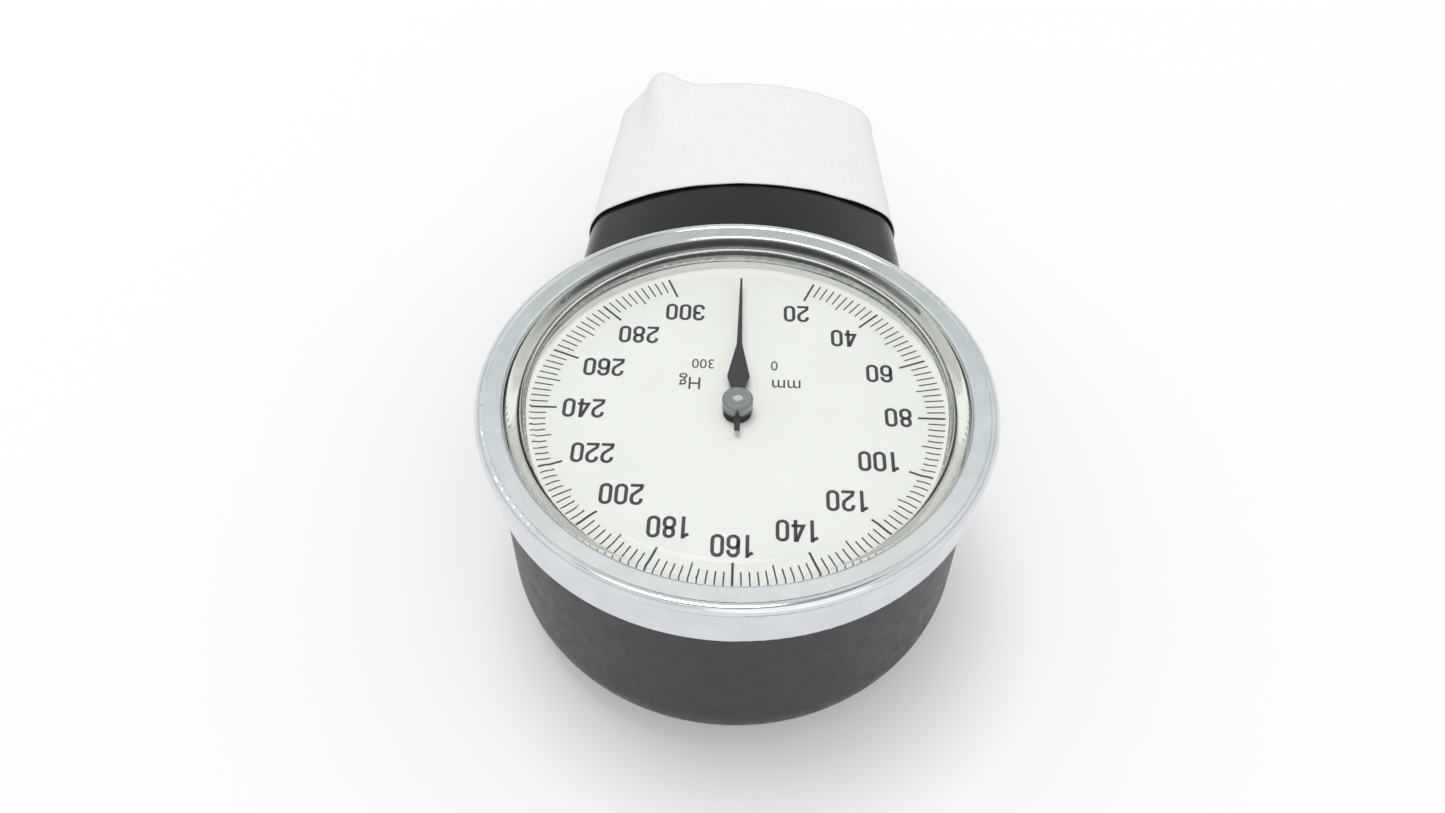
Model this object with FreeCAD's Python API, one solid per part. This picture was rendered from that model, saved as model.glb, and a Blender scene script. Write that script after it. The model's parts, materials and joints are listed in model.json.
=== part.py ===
import FreeCAD, Part
import math
import os

# Aneroid blood-pressure gauge head: a round gauge with a dial, its movement and its pressure capsule,
# and a moulded neck that carries the air inlet. Millimetres.
# The origin is the centre of the flat back face, on the pointer's axis. +Z points out of the dial, and
# +Y points to the zero of the scale, which is also the side of the inlet.

V = FreeCAD.Vector
X_AXIS, Y_AXIS, Z_AXIS = V(1, 0, 0), V(0, 1, 0), V(0, 0, 1)

# ---- Case, bezel and crystal ----
CASE_R = 27.5            # outside radius of the cup
CASE_WALL = 1.6
CASE_FLOOR = 2.0
CASE_CORNER = 8.5        # outside rounding between the wall and the back
DIAL_FACE_Z = 28.0
DIAL_DEPTH = 1.0         # dial face below the cup's rim
DIAL_THICK = 0.6
DIAL_CLEAR = 0.1         # dial edge to the case wall
LEDGE_WIDTH = 1.3        # inner shelf that the dial rests on
LEDGE_DEPTH = 1.6
GASKET_THICK = 0.5
CRYSTAL_RIM_THICK = 2.1
CRYSTAL_RIM_CLEAR = 0.2  # crystal rim to the bezel skirt
CRYSTAL_THICK = 1.5
CRYSTAL_RISE = 2.9       # top of the dome over the crystal's rim
CRYSTAL_CORNER = 2.2     # rounding where the dome turns down
BEZEL_CLEAR = 0.1        # bezel skirt to the case wall
BEZEL_WALL = 1.0
BEZEL_LIP_WIDTH = 1.6    # lip over the crystal's rim
BEZEL_LIP_THICK = 0.8
BEZEL_SKIRT_DROP = 3.0   # lower edge of the skirt below the cup's rim
BEAD_R = 0.75            # rolled bead round the bezel's edge
BEAD_PROUD = 0.55        # bead beyond the skirt
BEAD_RISE = 0.1          # bead above the lip
SPACER_WALL = 0.9
DIAL_HOLE_CLEAR = 0.6    # dial's hole round the hub's stem

# ---- Movement ----
SWEEP = math.radians(337.5)      # pointer travel over the scale, 0 to 300
PINION_TEETH = 10
SECTOR_TEETH = 100               # teeth that a full wheel of the sector's radius would have
MODULE = 0.3
PRESSURE_ANGLE = math.radians(25)
ADDENDUM = 0.8                   # in modules
DEDENDUM = 1.2                   # in modules
FLANK_THIN = 0.035               # taken off each flank
MESH_CLEAR = 0.07                # extra distance between the centres
LEVER_LENGTH = 4.325             # rocking shaft to the nose on the capsule's pad
SECTOR_RISE = 1.4                   # sector above the lower plate
SECTOR_THICK = 1.0
SECTOR_RIM = 2.4
SECTOR_SPOKE = 1.4
SECTOR_HUB_R = 2.0
TAIL_ARM = 3.0                   # sector pivot to the push arm
TAIL_HALF = 0.6
TAIL_REACH = 4.2
SPARE_TEETH = 2                  # teeth beyond each end of the travel
PLATE_THICK = 1.2
PLATE_BORDER = 2.5               # lower plate beyond the posts' circle
PLATE_SPACING = 4.4              # between the two plates
TOP_PLATE_BORDER = 3.0           # upper plate beyond the pillars' circle
WINDOW_R = 5.15                  # windows in the upper plate
WINDOW_CIRCLE_R = 11.3
WINDOW_ANGLES = (30, 265)
PIVOT_R = 0.4
PIVOT_CLEAR = 0.05
ARBOR_R = 0.8
ARBOR_SHAKE = 0.1                # end play of each arbor between the plates
POST_R = 2.2                     # case posts under the lower plate
POST_WALL_GAP = 3.2              # posts to the case wall
POST_ANGLES = (40, 160, 280)
PILLAR_INSET = 2.9               # pillars' circle inside the posts' circle
PILLAR_R = 1.5
PILLAR_ANGLES = (100, 215, 320)
SCREW_R = 0.8
SCREW_GRIP = 3.0                 # screw length held in a post or pillar
HEAD_R = 1.5
HEAD_THICK = 0.8
SLOT_WIDTH = 0.35
SHAFT_RISE = 4.75                # rocking shaft above the capsule's seam
SHAFT_DROP = 1.7                 # rocking shaft below the lower plate
SHAFT_R = 0.7
EAR_THICK = 1.0
EAR_HALF = 1.9
EAR_DROP = 1.2                   # ear below the shaft's axis
EAR_RIGHT_X = 3.4
ARM_END_GAP = 1.75               # push arm to the left ear
PIVOT_SCREW_R = 0.9
PIVOT_HEAD_R = 1.08
PIVOT_DEPTH = 0.7
COLLAR_R = 1.3                   # collars of the lever and the push arm
COLLAR_HALF = 0.8
LEVER_THICK = 0.8
ARM_FOOT = 0.45
ARM_ROD_R = 0.3
ARM_BALL_R = 0.45
ARM_CLEAR = 0.06                 # push arm's ball to the sector's tail
NOSE_R = 0.5
PAD_CLEAR = 0.12                 # nose to the capsule's pad
PAD_RISE = 1.6                   # capsule's travel over the scale

# ---- Hairspring ----
SPRING_RISE = 0.7                # spring above the sector
SPRING_HEIGHT = 0.5
SPRING_WIRE = 0.12
SPRING_PITCH = 0.6
SPRING_TURNS = 5
COLLET_WALL = 0.16
STUD_R = 0.5
STUD_GAP = 0.3

# ---- Pointer ----
POINTER_RISE = 1.0               # pointer above the dial
POINTER_THICK = 0.35
POINTER_TIP_GAP = 3.5            # tip to the spacer ring
POINTER_TAIL_R = 3.6
SPEAR_START_R = 2.0
SPEAR_WIDE_R = 4.6
SPEAR_END_R = 9.8
SPEAR_HALF = 1.3
SPEAR_START_HALF = 0.6
NEEDLE_HALF = 0.32
TIP_HALF = 0.12
HUB_R = 1.75
HUB_BASE_RISE = 0.6              # foot of the hub's stem above the dial
HUB_CAP_THICK = 1.25
HUB_EDGE = 0.3                   # rounding of the cap
HUB_SHOULDER_R = 1.0
POINTER_SEAT_R = 0.6             # arbor's end in the hub

# ---- Capsule ----
CAPSULE_GAP = 0.8                # capsule to the posts
CAPSULE_SEAM_Z = 11.55
CAPSULE_HALF_HEIGHT = 1.65
CAPSULE_SHEET = 0.25
CAPSULE_RIM = 1.3
CAPSULE_FLAT_BORDER = 0.6        # flat middle beyond the block
CAPSULE_WAVES = 4
CAPSULE_WAVE_HEIGHT = 0.3
PAD_R = 3.0
PAD_THICK = 0.5
PAD_POST_R = 1.2
BLOCK_R = 4.0
BLOCK_FLANGE_THICK = 2.5
BLOCK_SCREW_MARGIN = 1.8         # its screws to the block, and to the flange's edge
BLOCK_SCREW_SHORT = 0.5          # end of a screw to the top of the flange
TAP_DEEPER = 0.2                 # tapped hole beyond a screw's end
RECESS_R = 1.9                   # sunk heads of the outside screws
RECESS_DEPTH = 1.0

# ---- Inlet and neck ----
INLET_Z = 7.2
TUBE_R = 1.5
TUBE_WALL = 0.6
TUBE_START_Y = 2.2
GROMMET_WALL = 1.5
INLET_BOSS_WALL = 1.4
INLET_BOSS_DEPTH = 4.4           # bosses inside the case wall
NECK_CLEAR = 0.15                # neck to the case
NECK_BEZEL_CLEAR = 0.3
NECK_WALL = 1.8
NECK_SADDLE = 3.2                # neck's wall against the case
NECK_BOTTOM_Z = 0.8
NECK_SPLIT_Z = 12.5
NECK_TOP_RISE = 0.4              # top of the neck above the cup's rim
NECK_OVERLAP = 9.5               # neck beside the case
NECK_END_Y = 65.8
NECK_START_HALF = 23.5
NECK_END_HALF = 19.0
NECK_ARCH_R = 41.0               # top of the arch
NECK_SHOULDER_R = 5.0            # rounding between the arch and the sides
NECK_EDGE = 2.5                  # rounding of the far end
NECK_LOWER_CORNER = 4.0
NECK_SCREW_INSET = 7.5           # screws to the neck's sides
NECK_SCREW_NEAR = 8.5            # first pair beyond the case
NECK_SCREW_FAR = 7.8             # second pair to the far end
NECK_BOSS_R = 2.6
NECK_POST_R = 2.2                # posts that the screws hold in the upper shell
NECK_SCREW_DEPTH = 5.5           # bore above the split
NECK_SCREW_SHORT = 0.5           # screw's end to the bore's end
FIX_BOSS_R = 3.0                 # bosses for the screws from the case into the neck
FIX_BOSS_GAP = 2.1               # those bosses to the inlet's boss
FIX_SCREW_SHORT = 0.85           # their screws' ends to the inside of the saddle's wall
NIPPLE_R = 2.4
NIPPLE_OUT = 14.0                # nipple beyond the neck
NIPPLE_COLLAR_STEP = 0.8
NIPPLE_COLLAR_OUT = 1.6
NIPPLE_FLANGE_STEP = 1.2
NIPPLE_FLANGE_THICK = 1.8
NIPPLE_BORE_R = 1.2
NIPPLE_CHAMFER = 0.6
NIPPLE_SOCKET = 4.0

# ---- Paper label round the neck ----
LABEL_WIDTH = 25.4
LABEL_END_GAP = 0.5              # far edge of the label to the end of the neck
LABEL_THICK = 0.15
LABEL_CLEAR = 0.1
LABEL_SPLIT_GAP = 2.0            # lower edge of the label to the split

# ---- Worked out from the above ----
CASE_RIM_Z = DIAL_FACE_Z + DIAL_DEPTH
CASE_IN_R = CASE_R - CASE_WALL
LEDGE_R = CASE_IN_R - LEDGE_WIDTH
LEDGE_Z = DIAL_FACE_Z - DIAL_THICK
DIAL_R = CASE_IN_R - DIAL_CLEAR
SPACER_IN_R = DIAL_R - SPACER_WALL
CRYSTAL_Z = CASE_RIM_Z + GASKET_THICK
CRYSTAL_RIM_Z = CRYSTAL_Z + CRYSTAL_RIM_THICK
BEZEL_IN_R = CASE_R + BEZEL_CLEAR
BEZEL_R = BEZEL_IN_R + BEZEL_WALL
BEZEL_LIP_R = BEZEL_IN_R - BEZEL_LIP_WIDTH
BEZEL_SKIRT_Z = CASE_RIM_Z - BEZEL_SKIRT_DROP
BEZEL_LIP_Z = CRYSTAL_RIM_Z + BEZEL_CLEAR
BEZEL_TOP_Z = BEZEL_LIP_Z + BEZEL_LIP_THICK
BEAD_IN_R = BEZEL_R + BEAD_PROUD - BEAD_R
BEAD_OUT_R = BEAD_IN_R + BEAD_R
BEAD_Z = BEZEL_TOP_Z - BEAD_R + BEAD_RISE
CRYSTAL_R = BEZEL_IN_R - CRYSTAL_RIM_CLEAR
POST_CIRCLE_R = CASE_IN_R - POST_WALL_GAP - POST_R
PILLAR_CIRCLE_R = POST_CIRCLE_R - PILLAR_INSET
PLATE_R = POST_CIRCLE_R + PLATE_BORDER
TOP_PLATE_R = PILLAR_CIRCLE_R + TOP_PLATE_BORDER
SHAFT_Z = CAPSULE_SEAM_Z + SHAFT_RISE
BASE_Z = SHAFT_Z + SHAFT_DROP
BASE_TOP_Z = BASE_Z + PLATE_THICK
TOP_Z = BASE_TOP_Z + PLATE_SPACING
TOP_TOP_Z = TOP_Z + PLATE_THICK
SECTOR_Z = BASE_TOP_Z + SECTOR_RISE
SPRING_Z = SECTOR_Z + SECTOR_THICK + SPRING_RISE
POINTER_Z = DIAL_FACE_Z + POINTER_RISE
POINTER_TOP_Z = POINTER_Z + POINTER_THICK
POINTER_TIP_R = SPACER_IN_R - POINTER_TIP_GAP
HUB_BASE_Z = DIAL_FACE_Z + HUB_BASE_RISE
HUB_TOP_Z = POINTER_TOP_Z + HUB_CAP_THICK
DIAL_HOLE_R = HUB_SHOULDER_R + DIAL_HOLE_CLEAR
PINION_PITCH_R = MODULE * PINION_TEETH / 2
PINION_ROOT_R = PINION_PITCH_R - DEDENDUM * MODULE
SECTOR_PITCH_R = MODULE * SECTOR_TEETH / 2
CENTRES = PINION_PITCH_R + SECTOR_PITCH_R + MESH_CLEAR
PIVOT_HOLE_R = PIVOT_R + PIVOT_CLEAR
SHAFT_Y = -LEVER_LENGTH
PIVOT_X = -math.sqrt(CENTRES ** 2 - SHAFT_Y ** 2)
PIVOT_Y = SHAFT_Y
SECTOR_SWING = SWEEP * PINION_TEETH / SECTOR_TEETH
ROCKER_SWING = 2 * math.asin(PAD_RISE / 2 / LEVER_LENGTH)
MESH_ANGLE = math.atan2(-PIVOT_Y, -PIVOT_X)
ARM_X = PIVOT_X - TAIL_ARM
ARM_LENGTH = TAIL_ARM * math.tan(SECTOR_SWING / 2) / math.sin(ROCKER_SWING / 2)
ARM_OFFSET = (TAIL_HALF + ARM_BALL_R + ARM_CLEAR) / math.cos(SECTOR_SWING / 2)
EAR_LEFT_X = ARM_X - ARM_END_GAP - EAR_THICK
SHAFT_LEFT_X = EAR_LEFT_X + EAR_THICK + PIVOT_CLEAR
SHAFT_RIGHT_X = EAR_RIGHT_X - PIVOT_CLEAR
CAPSULE_R = POST_CIRCLE_R - POST_R - CAPSULE_GAP
CAPSULE_FLAT_R = BLOCK_R + CAPSULE_FLAT_BORDER
PAD_BASE_Z = CAPSULE_SEAM_Z + CAPSULE_HALF_HEIGHT
PAD_TOP_Z = SHAFT_Z - PAD_RISE / 2 - NOSE_R - PAD_CLEAR
BLOCK_TOP_Z = CAPSULE_SEAM_Z - CAPSULE_HALF_HEIGHT
BLOCK_SCREW_X = BLOCK_R + BLOCK_SCREW_MARGIN
BLOCK_FLANGE_R = BLOCK_SCREW_X + BLOCK_SCREW_MARGIN
BLOCK_SCREW_TOP_Z = CASE_FLOOR + BLOCK_FLANGE_THICK - BLOCK_SCREW_SHORT
COLLET_R = PINION_ROOT_R + COLLET_WALL
SPRING_R = COLLET_R + SPRING_PITCH * SPRING_TURNS
STUD_X = SPRING_R + SPRING_WIRE + STUD_GAP + STUD_R
AIR_R = TUBE_R - TUBE_WALL
GROMMET_R = TUBE_R + GROMMET_WALL
INLET_BOSS_R = GROMMET_R + INLET_BOSS_WALL
INLET_BOSS_Y = CASE_IN_R - INLET_BOSS_DEPTH
NECK_START_Y = CASE_R - NECK_OVERLAP
NECK_TOP_Z = CASE_RIM_Z + NECK_TOP_RISE
SADDLE_R = CASE_R + NECK_CLEAR + NECK_SADDLE
NECK_SCREW_TOP_Z = NECK_SPLIT_Z + NECK_SCREW_DEPTH
FIX_SCREW_X = INLET_BOSS_R + FIX_BOSS_GAP + FIX_BOSS_R
FIX_SCREW_LENGTH = SADDLE_R - FIX_SCREW_SHORT - INLET_BOSS_Y
NIPPLE_COLLAR_R = NIPPLE_R + NIPPLE_COLLAR_STEP
NIPPLE_FLANGE_R = NIPPLE_COLLAR_R + NIPPLE_FLANGE_STEP
NIPPLE_FLANGE_Y = NECK_END_Y - NECK_WALL
NIPPLE_END_Y = NECK_END_Y + NIPPLE_OUT
TUBE_END_Y = NIPPLE_FLANGE_Y - NIPPLE_FLANGE_THICK
LABEL_END_Y = NECK_END_Y - LABEL_END_GAP
LABEL_START_Y = LABEL_END_Y - LABEL_WIDTH
LABEL_LOW_Z = NECK_SPLIT_Z + LABEL_SPLIT_GAP

PAST = 1.0                   # how far a cutting tool runs past what it cuts


# ---- Helpers ----
def rod(radius, start, end):
    """A cylinder between two points."""
    along = V(*end) - V(*start)
    return Part.makeCylinder(radius, along.Length, V(*start), along)


def block(low, high):
    """A box between two corners."""
    return Part.makeBox(high[0] - low[0], high[1] - low[1], high[2] - low[2], V(*low))


def segment(a, b):
    return Part.LineSegment(a, b).toShape()


def arc(a, middle, b):
    return Part.Arc(a, middle, b).toShape()


def outline(points, z=0.0):
    """A closed face through (x, y) points at one height."""
    corners = [V(x, y, z) for x, y in points]
    return Part.Face(Part.makePolygon(corners + corners[:1]))


def turned(points):
    """A solid of revolution about Z. Each point is (r, z), or (r, z, bulge) where the stretch up to the
    next point is an arc that bulges to the left of its chord by that much."""
    edges = []
    for here, after in zip(points, points[1:] + points[:1]):
        a, b = V(here[0], 0, here[1]), V(after[0], 0, after[1])
        if len(here) == 3:
            chord = b - a
            left = V(-chord.z, 0, chord.x).normalize()
            edges.append(arc(a, (a + b) * 0.5 + left * here[2], b))
        else:
            edges.append(segment(a, b))
    return Part.Face(Part.Wire(edges)).revolve(V(0, 0, 0), Z_AXIS, 360)


def ring(outer, inner, low, high):
    return turned([(inner, low), (outer, low), (outer, high), (inner, high)])


def quarter_bulge(radius):
    """Height of a quarter circle over its chord."""
    return radius * (1 - math.sqrt(0.5))


def dome_bulge(half, rise):
    """Height over its chord of half of a dome's section, level at the middle."""
    radius = (half ** 2 + rise ** 2) / (2 * rise)
    return radius - math.sqrt(radius ** 2 - (half ** 2 + rise ** 2) / 4)


def on_circle(radius, degrees):
    angle = math.radians(degrees)
    return radius * math.cos(angle), radius * math.sin(angle)


def joined(shapes):
    """One solid from several that meet."""
    whole = shapes[0].fuse(list(shapes[1:])) if len(shapes) > 1 else shapes[0]
    return whole.removeSplitter()


def screw(seat, into, shank_r, length, head_r=HEAD_R, head_thick=HEAD_THICK):
    """A slotted screw: its head stands on seat, and its shank goes length along into."""
    seat, into = V(*seat), V(*into)
    head = Part.makeCylinder(head_r, head_thick, seat - into * head_thick, into)
    shank = Part.makeCylinder(shank_r, length, seat, into)
    slot = Part.makeBox(3 * head_r, SLOT_WIDTH, head_thick)
    slot.translate(V(-1.5 * head_r, -SLOT_WIDTH / 2, -head_thick * 1.5))
    slot.Placement = FreeCAD.Placement(seat, FreeCAD.Rotation(Z_AXIS, into)).multiply(slot.Placement)
    return joined([head, shank]).cut(slot)


# ---- Case, bezel and crystal ----
def cup_outside(extra=0.0, low=0.0):
    """The cup's outer form, grown by extra."""
    corner = CASE_CORNER + extra
    side = CASE_R + extra
    return turned([(0, low - extra), (side - corner, low - extra, -quarter_bulge(corner)),
                   (side, low - extra + corner), (side, CASE_RIM_Z), (0, CASE_RIM_Z)])


def case_cup():
    corner = CASE_CORNER - CASE_WALL
    ledge_root_z = LEDGE_Z - LEDGE_DEPTH
    inside = turned([(0, CASE_FLOOR), (CASE_IN_R - corner, CASE_FLOOR, -quarter_bulge(corner)),
                     (CASE_IN_R, CASE_FLOOR + corner), (CASE_IN_R, ledge_root_z - LEDGE_WIDTH),
                     (LEDGE_R, ledge_root_z), (LEDGE_R, LEDGE_Z), (CASE_IN_R, LEDGE_Z),
                     (CASE_IN_R, CASE_RIM_Z), (0, CASE_RIM_Z)])
    shell = cup_outside().cut(inside)
    bosses = [rod(INLET_BOSS_R, (0, INLET_BOSS_Y, INLET_Z), (0, CASE_R, INLET_Z))]
    for side in (-1, 1):
        x = side * FIX_SCREW_X
        bosses.append(rod(FIX_BOSS_R, (x, INLET_BOSS_Y, INLET_Z), (x, CASE_R, INLET_Z)))
    for degrees in POST_ANGLES:
        x, y = on_circle(POST_CIRCLE_R, degrees)
        bosses.append(rod(POST_R, (x, y, CASE_FLOOR / 2), (x, y, BASE_Z)))
    bosses = [boss.common(cup_outside()) for boss in bosses]
    cup = joined([shell] + bosses)
    holes = [rod(GROMMET_R, (0, INLET_BOSS_Y - PAST, INLET_Z), (0, CASE_R + PAST, INLET_Z))]
    for side in (-1, 1):
        x = side * FIX_SCREW_X
        holes.append(rod(SCREW_R, (x, INLET_BOSS_Y - PAST, INLET_Z), (x, CASE_R + PAST, INLET_Z)))
        x = side * BLOCK_SCREW_X
        holes.append(rod(SCREW_R, (x, 0, -PAST), (x, 0, CASE_FLOOR + PAST)))
        holes.append(rod(RECESS_R, (x, 0, -PAST), (x, 0, RECESS_DEPTH)))
    for degrees in POST_ANGLES:
        x, y = on_circle(POST_CIRCLE_R, degrees)
        holes.append(rod(SCREW_R, (x, y, BASE_Z - SCREW_GRIP), (x, y, BASE_Z + PAST)))
    return cup.cut(holes)


def bezel_ring():
    """Skirt, rolled bead and flat lip in one ring, with a rounded edge at the opening."""
    edge = BEZEL_LIP_THICK / 2
    body = turned([(BEZEL_IN_R, BEZEL_SKIRT_Z), (BEZEL_R - edge, BEZEL_SKIRT_Z, -quarter_bulge(edge)),
                   (BEZEL_R, BEZEL_SKIRT_Z + edge), (BEZEL_R, BEZEL_TOP_Z - edge),
                   (BEZEL_R - edge, BEZEL_TOP_Z), (BEZEL_LIP_R + edge, BEZEL_TOP_Z, -edge),
                   (BEZEL_LIP_R + edge, BEZEL_LIP_Z), (BEZEL_IN_R, BEZEL_LIP_Z)])
    bead = Part.makeTorus(BEAD_IN_R, BEAD_R, V(0, 0, BEAD_Z), Z_AXIS)
    return joined([body, bead])


def crystal_gasket():
    return ring(CASE_R, CASE_IN_R, CASE_RIM_Z, CRYSTAL_Z)


def crystal():
    """Clear cover: a flat rim under the bezel's lip, then a low dome with a rounded shoulder."""
    shoulder_r = BEZEL_LIP_R - CRYSTAL_RIM_CLEAR
    inner_r = shoulder_r - CRYSTAL_THICK
    inner_corner = CRYSTAL_CORNER - CRYSTAL_THICK / 2
    top_z = CRYSTAL_RIM_Z + CRYSTAL_RISE
    crown = CRYSTAL_RISE - CRYSTAL_CORNER
    half = shoulder_r - CRYSTAL_CORNER
    inner_half = inner_r - inner_corner
    return turned([(0, top_z - CRYSTAL_THICK), (0, top_z, dome_bulge(half, crown)),
                   (half, top_z - crown, quarter_bulge(CRYSTAL_CORNER)),
                   (shoulder_r, CRYSTAL_RIM_Z), (CRYSTAL_R, CRYSTAL_RIM_Z), (CRYSTAL_R, CRYSTAL_Z),
                   (inner_r, CRYSTAL_Z), (inner_r, top_z - crown - CRYSTAL_THICK - inner_corner,
                                          -quarter_bulge(inner_corner)),
                   (inner_half, top_z - crown - CRYSTAL_THICK, -dome_bulge(inner_half, crown))])


def dial_spacer_ring():
    return ring(DIAL_R, SPACER_IN_R, DIAL_FACE_Z, CRYSTAL_Z)


def dial_plate():
    return ring(DIAL_R, DIAL_HOLE_R, LEDGE_Z, DIAL_FACE_Z)


# ---- Pointer ----
def pointer():
    """A flat needle along +Y, with a spear near the hub and a short tail."""
    right = [(SPEAR_START_HALF, SPEAR_START_R), (SPEAR_HALF, SPEAR_WIDE_R), (NEEDLE_HALF, SPEAR_END_R),
             (TIP_HALF, POINTER_TIP_R)]
    tail = [(-NEEDLE_HALF, 0), (-NEEDLE_HALF, -POINTER_TAIL_R),
            (NEEDLE_HALF, -POINTER_TAIL_R), (NEEDLE_HALF, 0)]
    left = [(-x, y) for x, y in reversed(right)]
    blade = outline(left + tail + right, POINTER_Z).extrude(Z_AXIS * POINTER_THICK)
    boss = rod(HUB_R, (0, 0, POINTER_Z), (0, 0, POINTER_TOP_Z))
    hole = rod(HUB_SHOULDER_R, (0, 0, POINTER_Z - PAST), (0, 0, POINTER_TOP_Z + PAST))
    return joined([blade, boss]).cut(hole)


def pointer_hub():
    """The pointer's bush: a stem through the pointer and a flat cap with a rounded edge over it."""
    return turned([(POINTER_SEAT_R, HUB_BASE_Z), (HUB_SHOULDER_R, HUB_BASE_Z),
                   (HUB_SHOULDER_R, POINTER_TOP_Z), (HUB_R, POINTER_TOP_Z),
                   (HUB_R, HUB_TOP_Z - HUB_EDGE, -quarter_bulge(HUB_EDGE)),
                   (HUB_R - HUB_EDGE, HUB_TOP_Z), (POINTER_SEAT_R, HUB_TOP_Z)])


# ---- Gears ----
def tooth(teeth, centre_angle):
    """One involute tooth of a wheel, as points from its root to its tip and back."""
    pitch_r = MODULE * teeth / 2
    base_r = pitch_r * math.cos(PRESSURE_ANGLE)
    root_r = pitch_r - DEDENDUM * MODULE
    tip_r = pitch_r + ADDENDUM * MODULE
    half_pitch = math.pi / (2 * teeth) - FLANK_THIN / pitch_r
    pitch_roll = math.tan(PRESSURE_ANGLE) - PRESSURE_ANGLE
    flank = [(root_r, half_pitch + pitch_roll)] if root_r < base_r else []
    start_r = max(root_r, base_r)
    steps = 5
    for i in range(steps + 1):
        r = start_r + (tip_r - start_r) * i / steps
        cosine = min(1.0, base_r / r)
        roll = math.tan(math.acos(cosine)) - math.acos(cosine)
        flank.append((r, half_pitch + pitch_roll - roll))
    rising = [(r, centre_angle - a) for r, a in flank]
    falling = [(r, centre_angle + a) for r, a in reversed(flank)]
    return [(r * math.cos(a), r * math.sin(a)) for r, a in rising + falling]


def pinion_arbor():
    """Arbor with its pinion cut on it, pivots at both plates and a seat for the pointer's hub."""
    space = MESH_ANGLE + math.pi
    points = []
    for i in range(PINION_TEETH):
        points += tooth(PINION_TEETH, space + (i + 0.5) * 2 * math.pi / PINION_TEETH)
    leaf = SECTOR_THICK / 2 - ARBOR_SHAKE
    pinion = outline(points, SECTOR_Z - leaf).extrude(Z_AXIS * (SECTOR_THICK + 2 * leaf))
    arbor = rod(PINION_ROOT_R, (0, 0, BASE_TOP_Z + ARBOR_SHAKE), (0, 0, TOP_Z - ARBOR_SHAKE))
    foot = rod(PIVOT_R, (0, 0, BASE_Z), (0, 0, BASE_TOP_Z + ARBOR_SHAKE))
    spindle = rod(POINTER_SEAT_R, (0, 0, TOP_Z - ARBOR_SHAKE), (0, 0, HUB_TOP_Z - ARBOR_SHAKE))
    return joined([arbor, pinion, foot, spindle])


def sector_gear():
    """Toothed sector with two spokes, a hub and the tail that the push arm moves."""
    step = 2 * math.pi / SECTOR_TEETH
    first = -math.ceil(SECTOR_SWING / step) - SPARE_TEETH + 1
    centres = [MESH_ANGLE + k * step for k in range(first, SPARE_TEETH + 1)]
    low, high = centres[0] - step / 2, centres[-1] + step / 2
    root_r = SECTOR_PITCH_R - DEDENDUM * MODULE
    pie_reach = 2 * SECTOR_PITCH_R
    pie = outline([(0, 0)] + [(pie_reach * math.cos(a), pie_reach * math.sin(a)) for a in (low, high)])
    rim = Part.makeCylinder(root_r, SECTOR_THICK).common(pie.extrude(Z_AXIS * SECTOR_THICK))
    hub = Part.makeCylinder(SECTOR_HUB_R, SECTOR_THICK)
    window = Part.makeCylinder(root_r - SECTOR_RIM, SECTOR_THICK).cut(hub)
    middle = (low + high) / 2
    inset = SECTOR_SPOKE / math.sin((high - low) / 2)
    corner = (inset * math.cos(middle), inset * math.sin(middle))
    ends = [(corner[0] + pie_reach * math.cos(a), corner[1] + pie_reach * math.sin(a)) for a in (low, high)]
    rim = rim.cut(window.common(outline([corner] + ends).extrude(Z_AXIS * SECTOR_THICK)))
    teeth = [outline(tooth(SECTOR_TEETH, a)).extrude(Z_AXIS * SECTOR_THICK) for a in centres]
    tail = block((-TAIL_REACH, -TAIL_HALF, 0), (0, TAIL_HALF, SECTOR_THICK))
    tail.rotate(V(0, 0, 0), Z_AXIS, -math.degrees(SECTOR_SWING / 2))
    whole = joined([rim, hub, tail] + teeth).cut(rod(ARBOR_R, (0, 0, -PAST), (0, 0, SECTOR_THICK + PAST)))
    whole.translate(V(PIVOT_X, PIVOT_Y, SECTOR_Z))
    return whole


def sector_arbor():
    x, y = PIVOT_X, PIVOT_Y
    return joined([rod(ARBOR_R, (x, y, BASE_TOP_Z + ARBOR_SHAKE), (x, y, TOP_Z - ARBOR_SHAKE)),
                   rod(PIVOT_R, (x, y, BASE_Z), (x, y, TOP_TOP_Z))])


# ---- Hairspring ----
def hairspring_collet():
    low = SPRING_Z - SPRING_HEIGHT / 2
    return ring(COLLET_R, PINION_ROOT_R, low, low + 2 * SPRING_HEIGHT)


def hairspring():
    """Flat spiral strip of half circles, each a little larger than the one before."""
    inner_edges, outer_edges = [], []
    step = SPRING_PITCH / 2
    for edges, extra in ((inner_edges, 0.0), (outer_edges, SPRING_WIRE)):
        x = COLLET_R + extra
        for half_turn in range(2 * SPRING_TURNS):
            side = 1 if half_turn % 2 == 0 else -1
            radius = COLLET_R + extra + (half_turn + 0.5) * step
            start = V(x, 0, SPRING_Z)
            end = V(x - side * 2 * radius, 0, SPRING_Z)
            top = V((start.x + end.x) / 2, side * radius, SPRING_Z)
            edges.append(arc(start, top, end))
            x = end.x
    ends = [segment(inner_edges[0].Vertexes[0].Point, outer_edges[0].Vertexes[0].Point),
            segment(inner_edges[-1].Vertexes[-1].Point, outer_edges[-1].Vertexes[-1].Point)]
    strip = Part.Face(Part.Wire(Part.__sortEdges__(inner_edges + outer_edges + ends)))
    return strip.extrude(Z_AXIS * SPRING_HEIGHT)


def hairspring_stud():
    """Post under the upper plate for the spring's outer end."""
    return rod(STUD_R, (STUD_X, 0, SPRING_Z), (STUD_X, 0, TOP_Z))


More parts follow.
